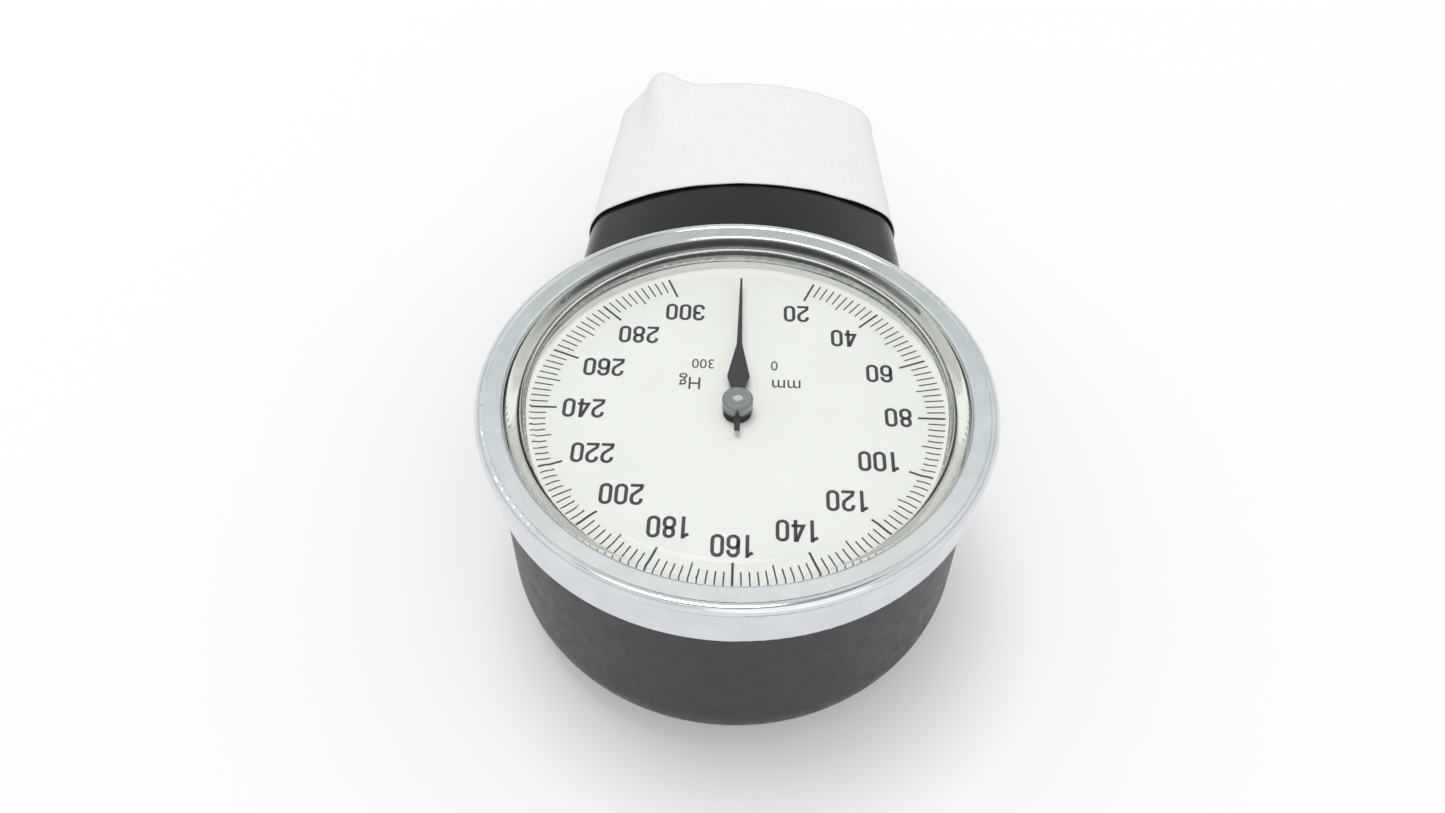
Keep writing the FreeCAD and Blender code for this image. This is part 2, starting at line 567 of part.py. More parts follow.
# ---- Movement frame ----
def movement_base_plate():
    """Lower plate with two ears bent down for the rocking shaft."""
    pieces = [rod(PLATE_R, (0, 0, BASE_Z), (0, 0, BASE_TOP_Z)),
              block((EAR_LEFT_X, SHAFT_Y - EAR_HALF, BASE_Z), (PIVOT_X, SHAFT_Y + EAR_HALF, BASE_TOP_Z))]
    for x in (EAR_LEFT_X, EAR_RIGHT_X):
        ear = block((x, SHAFT_Y - EAR_HALF, SHAFT_Z - EAR_DROP), (x + EAR_THICK, SHAFT_Y + EAR_HALF, BASE_Z))
        pieces.append(ear)
    holes = [rod(PIVOT_HOLE_R, (0, 0, BASE_Z - PAST), (0, 0, BASE_TOP_Z + PAST)),
             rod(PIVOT_HOLE_R, (PIVOT_X, PIVOT_Y, BASE_Z - PAST), (PIVOT_X, PIVOT_Y, BASE_TOP_Z + PAST)),
             rod(PIVOT_SCREW_R, (EAR_LEFT_X - PAST, SHAFT_Y, SHAFT_Z),
                 (EAR_RIGHT_X + EAR_THICK + PAST, SHAFT_Y, SHAFT_Z))]
    reach = (BASE_TOP_Z - SHAFT_Z) * math.tan(ROCKER_SWING / 2)
    gap = 2 * ARM_ROD_R
    arm_y = SHAFT_Y + ARM_OFFSET
    holes.append(block((ARM_X - gap, arm_y - reach - gap, BASE_Z - PAST),
                       (ARM_X + gap, arm_y + reach + gap, BASE_TOP_Z + PAST)))
    for degrees in POST_ANGLES:
        x, y = on_circle(POST_CIRCLE_R, degrees)
        holes.append(rod(SCREW_R, (x, y, BASE_Z - PAST), (x, y, BASE_TOP_Z + PAST)))
    return joined(pieces).cut(holes)


def movement_top_plate():
    """Upper plate: a disc with two round windows."""
    plate = rod(TOP_PLATE_R, (0, 0, TOP_Z), (0, 0, TOP_TOP_Z))
    holes = [rod(POINTER_SEAT_R + PIVOT_CLEAR, (0, 0, TOP_Z - PAST), (0, 0, TOP_TOP_Z + PAST)),
             rod(PIVOT_HOLE_R, (PIVOT_X, PIVOT_Y, TOP_Z - PAST), (PIVOT_X, PIVOT_Y, TOP_TOP_Z + PAST))]
    for degrees in PILLAR_ANGLES:
        x, y = on_circle(PILLAR_CIRCLE_R, degrees)
        holes.append(rod(SCREW_R, (x, y, TOP_Z - PAST), (x, y, TOP_TOP_Z + PAST)))
    for degrees in WINDOW_ANGLES:
        x, y = on_circle(WINDOW_CIRCLE_R, degrees)
        holes.append(rod(WINDOW_R, (x, y, TOP_Z - PAST), (x, y, TOP_TOP_Z + PAST)))
    return plate.cut(holes)


def movement_pillars():
    """Three pillars between the plates, bored for the screws of the upper one."""
    pillars = []
    for degrees in PILLAR_ANGLES:
        x, y = on_circle(PILLAR_CIRCLE_R, degrees)
        bore = rod(SCREW_R, (x, y, TOP_Z - SCREW_GRIP), (x, y, TOP_Z + PAST))
        pillars.append(rod(PILLAR_R, (x, y, BASE_TOP_Z), (x, y, TOP_Z)).cut(bore))
    return Part.makeCompound(pillars)


def movement_screws():
    seats = [on_circle(POST_CIRCLE_R, degrees) for degrees in POST_ANGLES]
    length = PLATE_THICK + SCREW_GRIP
    return Part.makeCompound([screw((x, y, BASE_TOP_Z), (0, 0, -1), SCREW_R, length) for x, y in seats])


def top_plate_screws():
    seats = [on_circle(PILLAR_CIRCLE_R, degrees) for degrees in PILLAR_ANGLES]
    length = PLATE_THICK + SCREW_GRIP
    return Part.makeCompound([screw((x, y, TOP_TOP_Z), (0, 0, -1), SCREW_R, length) for x, y in seats])


# ---- Rocking shaft ----
def at_rest(shape):
    """Turns a piece of the rocking shaft from the middle of its travel to zero pressure."""
    shape.rotate(V(0, SHAFT_Y, SHAFT_Z), X_AXIS, -math.degrees(ROCKER_SWING / 2))
    return shape


def rocking_shaft():
    pivot_left = SHAFT_LEFT_X - PIVOT_DEPTH
    pivot_right = SHAFT_RIGHT_X + PIVOT_DEPTH
    return joined([rod(SHAFT_R, (SHAFT_LEFT_X, SHAFT_Y, SHAFT_Z), (SHAFT_RIGHT_X, SHAFT_Y, SHAFT_Z)),
                   rod(PIVOT_R, (pivot_left, SHAFT_Y, SHAFT_Z), (pivot_right, SHAFT_Y, SHAFT_Z))])


def rocker_pivot_screws():
    """Two screws in the ears, each with a blind bore for one end of the shaft."""
    screws = []
    for inner_x, outward in ((EAR_LEFT_X + EAR_THICK, -1), (EAR_RIGHT_X, 1)):
        seat = (inner_x + outward * EAR_THICK, SHAFT_Y, SHAFT_Z)
        whole = screw(seat, (-outward, 0, 0), PIVOT_SCREW_R, EAR_THICK, PIVOT_HEAD_R, HEAD_THICK)
        depth = PIVOT_DEPTH + PIVOT_CLEAR
        bore = rod(PIVOT_HOLE_R, (inner_x - outward, SHAFT_Y, SHAFT_Z),
                   (inner_x + outward * depth, SHAFT_Y, SHAFT_Z))
        screws.append(whole.cut(bore))
    return Part.makeCompound(screws)


def lift_lever():
    """Collar on the shaft and an arm to the capsule's pad, ending in a round nose."""
    half = COLLAR_HALF
    half_thick = LEVER_THICK / 2
    collar = rod(COLLAR_R, (-half, SHAFT_Y, SHAFT_Z), (half, SHAFT_Y, SHAFT_Z))
    arm = block((-half, SHAFT_Y, SHAFT_Z - half_thick), (half, SHAFT_Y + LEVER_LENGTH, SHAFT_Z + half_thick))
    nose = rod(NOSE_R, (-half, SHAFT_Y + LEVER_LENGTH, SHAFT_Z), (half, SHAFT_Y + LEVER_LENGTH, SHAFT_Z))
    bore = rod(SHAFT_R, (-half - PAST, SHAFT_Y, SHAFT_Z), (half + PAST, SHAFT_Y, SHAFT_Z))
    return at_rest(joined([collar, arm, nose]).cut(bore))


def push_arm():
    """Collar on the shaft and an upright rod whose ball moves the sector's tail."""
    half = COLLAR_HALF
    y = SHAFT_Y + ARM_OFFSET
    ball_z = SHAFT_Z + ARM_LENGTH
    foot_z = SHAFT_Z + SHAFT_R
    collar = rod(COLLAR_R, (ARM_X - half, SHAFT_Y, SHAFT_Z), (ARM_X + half, SHAFT_Y, SHAFT_Z))
    foot = block((ARM_X - half / 2, SHAFT_Y, foot_z),
                 (ARM_X + half / 2, y + 2 * ARM_ROD_R, foot_z + ARM_FOOT))
    upright = rod(ARM_ROD_R, (ARM_X, y, foot_z + ARM_FOOT / 2), (ARM_X, y, ball_z))
    ball = Part.makeSphere(ARM_BALL_R, V(ARM_X, y, ball_z))
    bore = rod(SHAFT_R, (ARM_X - 2 * half, SHAFT_Y, SHAFT_Z), (ARM_X + 2 * half, SHAFT_Y, SHAFT_Z))
    return at_rest(joined([collar, foot, upright, ball]).cut(bore))


# ---- Capsule ----
def corrugated_disc(side):
    """Half of the capsule, above (side 1) or below (side -1) its seam."""
    rim_in_r = CAPSULE_R - CAPSULE_RIM
    middle_z = CAPSULE_HALF_HEIGHT - CAPSULE_SHEET
    near = [(CAPSULE_R, 0), (rim_in_r, 0)]
    steps = 2 * CAPSULE_WAVES
    for i in range(1, steps):
        r = rim_in_r + (CAPSULE_FLAT_R - rim_in_r) * i / steps
        wave = CAPSULE_WAVE_HEIGHT if i % 2 else -CAPSULE_WAVE_HEIGHT / 2
        near.append((r, middle_z * i / steps + wave))
    near.append((CAPSULE_FLAT_R, middle_z))
    near.append((0, middle_z) if side > 0 else (AIR_R, middle_z))
    far = [(r, z + CAPSULE_SHEET) for r, z in reversed(near)]
    return turned([(r, CAPSULE_SEAM_Z + side * z) for r, z in near + far])


def capsule_upper_diaphragm():
    return corrugated_disc(1)


def capsule_lower_diaphragm():
    return corrugated_disc(-1)


def capsule_pad():
    return joined([rod(PAD_R, (0, 0, PAD_BASE_Z), (0, 0, PAD_BASE_Z + PAD_THICK)),
                   rod(PAD_POST_R, (0, 0, PAD_BASE_Z), (0, 0, PAD_TOP_Z))])


def capsule_block():
    """Turned block that carries the capsule and leads the air up into it."""
    body = joined([rod(BLOCK_R, (0, 0, CASE_FLOOR), (0, 0, BLOCK_TOP_Z)),
                   rod(BLOCK_FLANGE_R, (0, 0, CASE_FLOOR), (0, 0, CASE_FLOOR + BLOCK_FLANGE_THICK))])
    flat_z = INLET_Z - TUBE_R
    holes = [rod(AIR_R, (0, 0, INLET_Z), (0, 0, BLOCK_TOP_Z + PAST)),
             rod(AIR_R, (0, 0, INLET_Z), (0, TUBE_START_Y, INLET_Z)),
             rod(TUBE_R, (0, TUBE_START_Y, INLET_Z), (0, BLOCK_FLANGE_R + PAST, INLET_Z)),
             block((-TUBE_R, BLOCK_R, flat_z), (TUBE_R, BLOCK_FLANGE_R + PAST, INLET_Z))]
    for side in (-1, 1):
        holes.append(rod(SCREW_R, (side * BLOCK_SCREW_X, 0, CASE_FLOOR - PAST),
                         (side * BLOCK_SCREW_X, 0, BLOCK_SCREW_TOP_Z + TAP_DEEPER)))
    return body.cut(holes)


def capsule_block_screws():
    length = BLOCK_SCREW_TOP_Z - RECESS_DEPTH
    return Part.makeCompound([screw((side * BLOCK_SCREW_X, 0, RECESS_DEPTH), (0, 0, 1), SCREW_R, length)
                              for side in (-1, 1)])


# ---- Inlet ----
def inlet_tube():
    start, end = (0, TUBE_START_Y, INLET_Z), (0, TUBE_END_Y, INLET_Z)
    return rod(TUBE_R, start, end).cut(rod(AIR_R, start, end))


def inlet_grommet():
    """Rubber bush round the tube where it leaves the case."""
    bush = rod(GROMMET_R, (0, INLET_BOSS_Y, INLET_Z), (0, CASE_R, INLET_Z)).common(cup_outside())
    return bush.cut(rod(TUBE_R, (0, 0, INLET_Z), (0, CASE_R + PAST, INLET_Z)))


def hose_nipple():
    """Turned nipple: a flange inside the neck's end wall, a collar and the plain end for the hose."""
    start_y = TUBE_END_Y - NIPPLE_SOCKET
    collar_end_y = NECK_END_Y + NIPPLE_COLLAR_OUT
    nozzle = rod(NIPPLE_R, (0, collar_end_y, INLET_Z), (0, NIPPLE_END_Y, INLET_Z))
    end_edges = [e for e in nozzle.Edges if e.BoundBox.YMin > NIPPLE_END_Y - 0.01]
    nozzle = nozzle.makeChamfer(NIPPLE_CHAMFER, end_edges)
    body = joined([rod(NIPPLE_COLLAR_R, (0, start_y, INLET_Z), (0, collar_end_y, INLET_Z)), nozzle,
                   rod(NIPPLE_FLANGE_R, (0, TUBE_END_Y, INLET_Z), (0, NIPPLE_FLANGE_Y, INLET_Z))])
    bore = rod(NIPPLE_BORE_R, (0, TUBE_END_Y - PAST, INLET_Z), (0, NIPPLE_END_Y + PAST, INLET_Z))
    return body.cut([bore, rod(TUBE_R, (0, start_y - PAST, INLET_Z), (0, TUBE_END_Y, INLET_Z))])


# ---- Neck ----
def neck_half(y):
    """Half the neck's width at y."""
    share = (y - NECK_START_Y) / (NECK_END_Y - NECK_START_Y)
    return NECK_START_HALF + (NECK_END_HALF - NECK_START_HALF) * share


def arch_wire(y, grow, low_z):
    """The neck's section at y, grown by grow: a shallow arch with round shoulders on straight sides."""
    half = neck_half(y) + grow
    arch_r, shoulder_r = NECK_ARCH_R + grow, NECK_SHOULDER_R + grow
    arch_z = NECK_TOP_Z - NECK_ARCH_R
    shoulder_x = half - shoulder_r
    shoulder_z = arch_z + math.sqrt((arch_r - shoulder_r) ** 2 - shoulder_x ** 2)
    lean = math.atan2(shoulder_x, shoulder_z - arch_z)

    def on_arch(angle):
        return V(arch_r * math.sin(angle), y, arch_z + arch_r * math.cos(angle))

    def on_shoulder(side, angle):
        x = shoulder_x + shoulder_r * math.sin(angle)
        return V(side * x, y, shoulder_z + shoulder_r * math.cos(angle))

    middle = (lean + math.pi / 2) / 2
    left, right = V(-half, y, shoulder_z), V(half, y, shoulder_z)
    low_left, low_right = V(-half, y, low_z), V(half, y, low_z)
    return Part.Wire([arc(on_arch(-lean), on_arch(0), on_arch(lean)),
                      arc(on_arch(lean), on_shoulder(1, middle), right),
                      segment(right, low_right), segment(low_right, low_left), segment(low_left, left),
                      arc(left, on_shoulder(-1, middle), on_arch(-lean))])


def arch_body(grow, start_y, end_y, low_z=NECK_SPLIT_Z):
    """The neck's arched form between two stations, grown by grow."""
    return Part.makeLoft([arch_wire(y, grow, low_z) for y in (start_y, end_y)], True, True)


def tray_wire(y, grow):
    """The section of the neck's lower half at y, grown by grow, with rounded lower corners."""
    half = neck_half(y) + grow
    low_z = NECK_BOTTOM_Z - grow
    corner = NECK_LOWER_CORNER + grow
    inset = corner * (1 - math.sqrt(0.5))
    left, right = V(-half, y, low_z + corner), V(half, y, low_z + corner)
    low_left, low_right = V(-half + corner, y, low_z), V(half - corner, y, low_z)
    top_left, top_right = V(-half, y, NECK_SPLIT_Z), V(half, y, NECK_SPLIT_Z)
    return Part.Wire([segment(top_right, top_left), segment(top_left, left),
                      arc(left, V(-half + inset, y, low_z + inset), low_left),
                      segment(low_left, low_right),
                      arc(low_right, V(half - inset, y, low_z + inset), right),
                      segment(right, top_right)])


def tray_body(grow, start_y, end_y):
    """The neck's lower form between two stations, grown by grow."""
    return Part.makeLoft([tray_wire(y, grow) for y in (start_y, end_y)], True, True)


def case_space():
    """The room that the neck leaves for the case and the bezel."""
    bezel = rod(BEAD_OUT_R + NECK_BEZEL_CLEAR, (0, 0, BEZEL_SKIRT_Z - NECK_BEZEL_CLEAR),
                (0, 0, BEZEL_TOP_Z + PAST))
    return joined([cup_outside(NECK_CLEAR), bezel])


def saddle_space():
    """The same room with the neck's wall round it."""
    return rod(SADDLE_R, (0, 0, -PAST), (0, 0, BEZEL_TOP_Z + PAST))


def rounded_end(shape):
    """Rounds the outer edges of the far end wall, except the one on the split plane."""
    edges = []
    for edge in shape.Edges:
        box = edge.BoundBox
        on_split = abs(box.ZMin - NECK_SPLIT_Z) < 0.01 and abs(box.ZMax - NECK_SPLIT_Z) < 0.01
        if box.YMin > NECK_END_Y - 0.01 and not on_split:
            edges.append(edge)
    return shape.makeFillet(NECK_EDGE, edges)


def neck_screw_places():
    stations = (CASE_R + NECK_SCREW_NEAR, NECK_END_Y - NECK_SCREW_FAR)
    return [(side * (neck_half(y) - NECK_SCREW_INSET), y) for y in stations for side in (-1, 1)]


def neck_upper_shell():
    outside = rounded_end(arch_body(0, NECK_START_Y, NECK_END_Y))
    inside = arch_body(-NECK_WALL, NECK_START_Y, NECK_END_Y - NECK_WALL).cut(saddle_space())
    shell = outside.cut(case_space()).cut(inside)
    posts = []
    for x, y in neck_screw_places():
        post = rod(NECK_POST_R, (x, y, NECK_SPLIT_Z), (x, y, NECK_TOP_Z))
        posts.append(post.common(arch_body(-NECK_WALL / 2, NECK_START_Y, NECK_END_Y - NECK_WALL / 2)))
    holes = [rod(SCREW_R, (x, y, NECK_SPLIT_Z - PAST), (x, y, NECK_SCREW_TOP_Z))
             for x, y in neck_screw_places()]
    return joined([shell] + posts).cut(holes)


def neck_lower_shell():
    outside = rounded_end(tray_body(0, NECK_START_Y, NECK_END_Y))
    inside = tray_body(-NECK_WALL, NECK_START_Y, NECK_END_Y - NECK_WALL).cut(saddle_space())
    shell = outside.cut(case_space()).cut(inside)
    foot_z = NECK_BOTTOM_Z + NECK_WALL / 2
    bosses = [rod(NECK_BOSS_R, (x, y, foot_z), (x, y, NECK_SPLIT_Z)) for x, y in neck_screw_places()]
    wall_y = NECK_END_Y - NECK_WALL - PAST
    holes = [rod(TUBE_R + NECK_CLEAR, (0, NECK_START_Y, INLET_Z), (0, wall_y, INLET_Z)),
             rod(NIPPLE_COLLAR_R, (0, wall_y, INLET_Z), (0, NECK_END_Y + PAST, INLET_Z))]
    for x, y in neck_screw_places():
        holes.append(rod(SCREW_R, (x, y, -PAST), (x, y, NECK_SPLIT_Z + PAST)))
        holes.append(rod(RECESS_R, (x, y, -PAST), (x, y, NECK_BOTTOM_Z + RECESS_DEPTH)))
    for side in (-1, 1):
        x = side * FIX_SCREW_X
        holes.append(rod(SCREW_R, (x, NECK_START_Y, INLET_Z),
                         (x, INLET_BOSS_Y + FIX_SCREW_LENGTH, INLET_Z)))
    return joined([shell] + bosses).cut(holes)


def neck_screws():
    seat_z = NECK_BOTTOM_Z + RECESS_DEPTH
    length = NECK_SCREW_TOP_Z - NECK_SCREW_SHORT - seat_z
    return Part.makeCompound([screw((x, y, seat_z), (0, 0, 1), SCREW_R, length)
                              for x, y in neck_screw_places()])


def neck_fixing_screws():
    """Screws from inside the case into the neck's saddle."""
    return Part.makeCompound([screw((side * FIX_SCREW_X, INLET_BOSS_Y, INLET_Z), (0, 1, 0), SCREW_R,
                                    FIX_SCREW_LENGTH) for side in (-1, 1)])


def paper_label():
    """Blank paper band over the neck, down both sides."""
    outer = arch_body(LABEL_CLEAR + LABEL_THICK, LABEL_START_Y, LABEL_END_Y, LABEL_LOW_Z)
    inner = arch_body(LABEL_CLEAR, LABEL_START_Y - PAST, LABEL_END_Y + PAST, LABEL_LOW_Z - PAST)
    return outer.cut(inner)


NODES = [case_cup, bezel_ring, crystal_gasket, crystal, dial_spacer_ring, dial_plate,
         pointer, pointer_hub, pinion_arbor, hairspring_collet, hairspring, hairspring_stud,
         sector_gear, sector_arbor, movement_base_plate, movement_top_plate, movement_pillars,
         movement_screws, top_plate_screws, rocking_shaft, rocker_pivot_screws, lift_lever, push_arm,
         capsule_upper_diaphragm, capsule_lower_diaphragm, capsule_pad, capsule_block,
         capsule_block_screws, inlet_tube, inlet_grommet, hose_nipple,
         neck_upper_shell, neck_lower_shell, neck_screws, neck_fixing_screws, paper_label]

os.makedirs("parts", exist_ok=True)
for make in NODES:
    solid = make()
    if not solid.isValid() or not solid.Solids:
        raise ValueError(make.__name__ + " isn't a valid solid")
    solid.exportStep("parts/" + make.__name__ + ".step")
    print("%-26s %2d solids %9.2f mm3" % (make.__name__, len(solid.Solids), solid.Volume))
print("sector pivot %.6f, %.6f mm" % (PIVOT_X, PIVOT_Y))
print("swing of the sector %.6f and of the rocking shaft %.6f degrees" % (
    math.degrees(SECTOR_SWING), math.degrees(ROCKER_SWING)))
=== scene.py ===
import json
import math

import bpy
import bmesh
from mathutils import Matrix, Vector, noise
from mathutils.bvhtree import BVHTree


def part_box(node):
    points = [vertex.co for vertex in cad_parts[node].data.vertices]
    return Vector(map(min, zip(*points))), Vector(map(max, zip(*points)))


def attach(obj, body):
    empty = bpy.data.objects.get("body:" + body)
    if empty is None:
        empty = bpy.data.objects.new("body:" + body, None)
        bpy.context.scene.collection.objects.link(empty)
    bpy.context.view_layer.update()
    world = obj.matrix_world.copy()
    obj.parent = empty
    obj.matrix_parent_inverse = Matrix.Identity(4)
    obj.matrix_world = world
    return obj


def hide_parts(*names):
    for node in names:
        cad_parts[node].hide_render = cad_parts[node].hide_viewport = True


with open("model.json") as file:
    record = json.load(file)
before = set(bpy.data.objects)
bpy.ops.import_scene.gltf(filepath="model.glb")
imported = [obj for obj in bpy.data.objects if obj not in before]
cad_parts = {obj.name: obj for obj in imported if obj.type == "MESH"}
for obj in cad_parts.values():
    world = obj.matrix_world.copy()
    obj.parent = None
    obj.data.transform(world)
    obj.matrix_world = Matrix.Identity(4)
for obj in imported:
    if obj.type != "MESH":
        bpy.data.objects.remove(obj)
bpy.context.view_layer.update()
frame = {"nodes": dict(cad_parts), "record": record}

MM = 0.001

# ---- The dial's print, in millimetres from the pointer's axis ----
UNITS_PER_TURN = 320
SCALE_START, SCALE_END, SCALE_STEP = 20, 300, 2
MEDIUM_STEP, NUMBERED_STEP = 10, 20
TICK_OUTER_R = 23.9
TICK_LONG_R, TICK_MEDIUM_R, TICK_SHORT_R = 20.57, 21.1, 21.7
TICK_LONG_WIDE, TICK_WIDE = 0.26, 0.16
NUMERAL_EDGE_R = 19.9        # circle that the numerals' boxes reach out to
DIGIT_HEIGHT, DIGIT_WIDE, DIGIT_STROKE, DIGIT_GAP = 2.85, 1.42, 0.39, 0.24
UNIT_CAPITAL, RANGE_CAPITAL = 1.9, 1.5      # heights of the capitals in the dial's two lines of text
UNIT_Y, RANGE_Y = 4.4, 7.6                  # middles of those lines
UNIT_X, RANGE_X = 5.6, 4.2                  # their words, on either side of the pointer at rest
LETTER_SQUEEZE = 0.85                       # width of the letters against the built-in face
FACE_CAPITAL = 0.69                         # height of that face's capitals at size 1
PRINT_THICK = 0.02                          # ink above the dial

# ---- The paper label, in millimetres ----
LABEL_THICK = 0.15
LABEL_SLANT = 2.2            # its near edge runs back by this from one side to the other
LABEL_CORNER = 0.9           # its far edge runs in by this at one corner
LABEL_INSET = 0.02           # where its edges are taken, inside those of the CAD label
LABEL_LIFT = 0.35            # how far its edges and waves stand off
LABEL_RIPPLE = 0.10          # height of its fine unevenness
LABEL_RAYS = 400             # rays that find the CAD label's surface in one section
LABEL_COLUMNS, LABEL_ROWS = 120, 56
PLEAT_HEIGHT = 3.3           # fold standing at the far edge
PLEAT_HALF = 3.0             # half its width
PLEAT_PLACE = -12.3          # from the middle of the label, along its arc
PLEAT_DRAW = 2.2             # how far the fold draws up the label's lower edge
PLEAT_START = 0.25           # share of the label's width at which the fold begins to rise

# ---- The camera, in millimetres ----
CAMERA_ELEVATION = math.radians(48.2)
CAMERA_DISTANCE = 134.5      # from the middle of the dial
CAMERA_ROLL = math.radians(1.77)
CAMERA_LENS = 29.31
CAMERA_SHIFT = (-0.0102, 0.0061)

# ---- Floor and light, in metres and watts ----
FLOOR_HALF = 3.0
FLOOR_COLOUR = (0.86, 0.855, 0.875, 1)
FLOOR_GLOW = 0.20            # added where the floor is seen, so that it reaches white in full light
WORLD_LIGHT = 0.60
LAMP_AIM = (0, 0.01, 0.02)
# The sky that is seen: height above the horizon, as the sine of its angle, and colour.
SKY_STOPS = ((0.0, (1.0, 1.0, 1.0)), (0.35, (0.93, 0.95, 0.97)), (0.63, (0.64, 0.67, 0.66)),
             (0.73, (0.86, 0.90, 0.90)), (0.83, (1.0, 1.0, 1.0)), (0.89, (0.95, 0.96, 0.97)),
             (0.93, (0.30, 0.31, 0.33)), (1.0, (0.50, 0.51, 0.53)))


# ---------------------------------------------------------------- materials
class Graph:
    """A new material's node tree, with short calls for the nodes used here."""

    def __init__(self, name):
        self.material = bpy.data.materials.new(name)
        self.material.use_nodes = True
        self.tree = self.material.node_tree
        self.tree.nodes.clear()
        self.out = self.node("ShaderNodeOutputMaterial")
        self.surface = self.node("ShaderNodeBsdfPrincipled")
        self.link(self.surface.outputs["BSDF"], self.out.inputs["Surface"])
        self.place = self.node("ShaderNodeTexCoord").outputs["Object"]

    def node(self, kind, **settings):
        made = self.tree.nodes.new(kind)
        for key, value in settings.items():
            setattr(made, key, value)
        return made

    def link(self, a, b):
        self.tree.links.new(a, b)

    def set(self, **values):
        for key, value in values.items():
            self.surface.inputs[key.replace("_", " ")].default_value = value

    def noise(self, size_mm, detail=2.0, place=None):
        """Noise whose features are about size_mm across."""
        made = self.node("ShaderNodeTexNoise")
        made.inputs["Scale"].default_value = 1 / (size_mm * MM)
        made.inputs["Detail"].default_value = detail
        self.link(place or self.place, made.inputs["Vector"])
        return made.outputs["Fac"]

    def turned_place(self):
        """Coordinates that change only with the radius and the height, as turning marks do."""
        split = self.node("ShaderNodeSeparateXYZ")
        self.link(self.place, split.inputs[0])
        flat = self.node("ShaderNodeCombineXYZ")
        self.link(split.outputs["X"], flat.inputs["X"])
        self.link(split.outputs["Y"], flat.inputs["Y"])
        radius = self.node("ShaderNodeVectorMath", operation="LENGTH")
        self.link(flat.outputs[0], radius.inputs[0])
        ringed = self.node("ShaderNodeCombineXYZ")
        self.link(radius.outputs["Value"], ringed.inputs["X"])
        self.link(split.outputs["Z"], ringed.inputs["Z"])
        return ringed.outputs[0]

    def between(self, value, low, high):
        """Maps 0.3..0.7 of a noise to low..high."""
        made = self.node("ShaderNodeMapRange")
        made.inputs["From Min"].default_value = 0.3
        made.inputs["From Max"].default_value = 0.7
        made.inputs["To Min"].default_value = low
        made.inputs["To Max"].default_value = high
        self.link(value, made.inputs["Value"])
        return made.outputs["Result"]

    def colours(self, value, low, high):
        ramp = self.node("ShaderNodeValToRGB")
        ramp.color_ramp.elements[0].position = 0.3
        ramp.color_ramp.elements[1].position = 0.7
        ramp.color_ramp.elements[0].color = (*low, 1)
        ramp.color_ramp.elements[1].color = (*high, 1)
        self.link(value, ramp.inputs["Fac"])
        self.link(ramp.outputs["Color"], self.surface.inputs["Base Color"])

    def rough(self, value, low, high):
        self.link(self.between(value, low, high), self.surface.inputs["Roughness"])

    def bump(self, value, height_mm, strength=1.0):
        made = self.node("ShaderNodeBump")
        made.inputs["Distance"].default_value = height_mm * MM
        made.inputs["Strength"].default_value = strength
        self.link(value, made.inputs["Height"])
        self.link(made.outputs["Normal"], self.surface.inputs["Normal"])


def scaled(colour, factor):
    return tuple(min(1.0, c * factor) for c in colour)


def painted(name, colour, roughness, grain_mm=0.35, grain_height=0.006, spread=0.08):
    g = Graph(name)
    g.colours(g.noise(6, 3), scaled(colour, 1 - spread), scaled(colour, 1 + spread))
    g.rough(g.noise(1.5, 3), roughness * 0.85, roughness * 1.15)
    g.bump(g.noise(grain_mm, 2), grain_height)
    g.set(Specular_IOR_Level=0.35)
    return g.material


def metal(name, colour, roughness, turned=False, line_mm=0.12, line_height=0.0015, spread=0.05):
    g = Graph(name)
    place = g.turned_place() if turned else g.place
    g.colours(g.noise(3, 3), scaled(colour, 1 - spread), scaled(colour, 1 + spread))
    lines = g.noise(line_mm, 2, place)
    g.rough(lines, roughness * 0.8, roughness * 1.25)
    g.bump(lines, line_height)
    g.set(Metallic=1.0)
    return g.material


def moulded(name, colour, roughness):
    g = Graph(name)
    g.colours(g.noise(8, 2), scaled(colour, 0.9), scaled(colour, 1.15))
    g.rough(g.noise(2.2, 4), roughness * 0.8, roughness * 1.3)
    g.bump(g.noise(1.4, 2), 0.01)
    g.set(Specular_IOR_Level=0.3, Coat_Weight=0.1, Coat_Roughness=0.06)
    return g.material


def acrylic(name):
    """Clear plastic that refracts, and lets the lamps' light through to what is behind it."""
    g = Graph(name)
    g.set(Base_Color=(0.985, 0.995, 0.99, 1), Roughness=0.015, IOR=1.25, Transmission_Weight=1.0)
    g.bump(g.noise(9, 1), 0.004)
    clear = g.node("ShaderNodeBsdfTransparent")
    clear.inputs["Color"].default_value = (0.995, 1, 0.995, 1)
    passing = g.node("ShaderNodeMixShader")
    g.link(g.node("ShaderNodeLightPath").outputs["Is Shadow Ray"], passing.inputs["Fac"])
    g.link(g.surface.outputs["BSDF"], passing.inputs[1])
    g.link(clear.outputs["BSDF"], passing.inputs[2])
    g.link(passing.outputs[0], g.out.inputs["Surface"])
    return g.material


def paper(name, colour):
    g = Graph(name)
    g.colours(g.noise(0.7, 5), scaled(colour, 0.97), scaled(colour, 1.02))
    g.rough(g.noise(0.4, 3), 0.78, 0.92)
    g.bump(g.noise(0.25, 4), 0.012)
    g.set(Specular_IOR_Level=0.3)
    return g.material


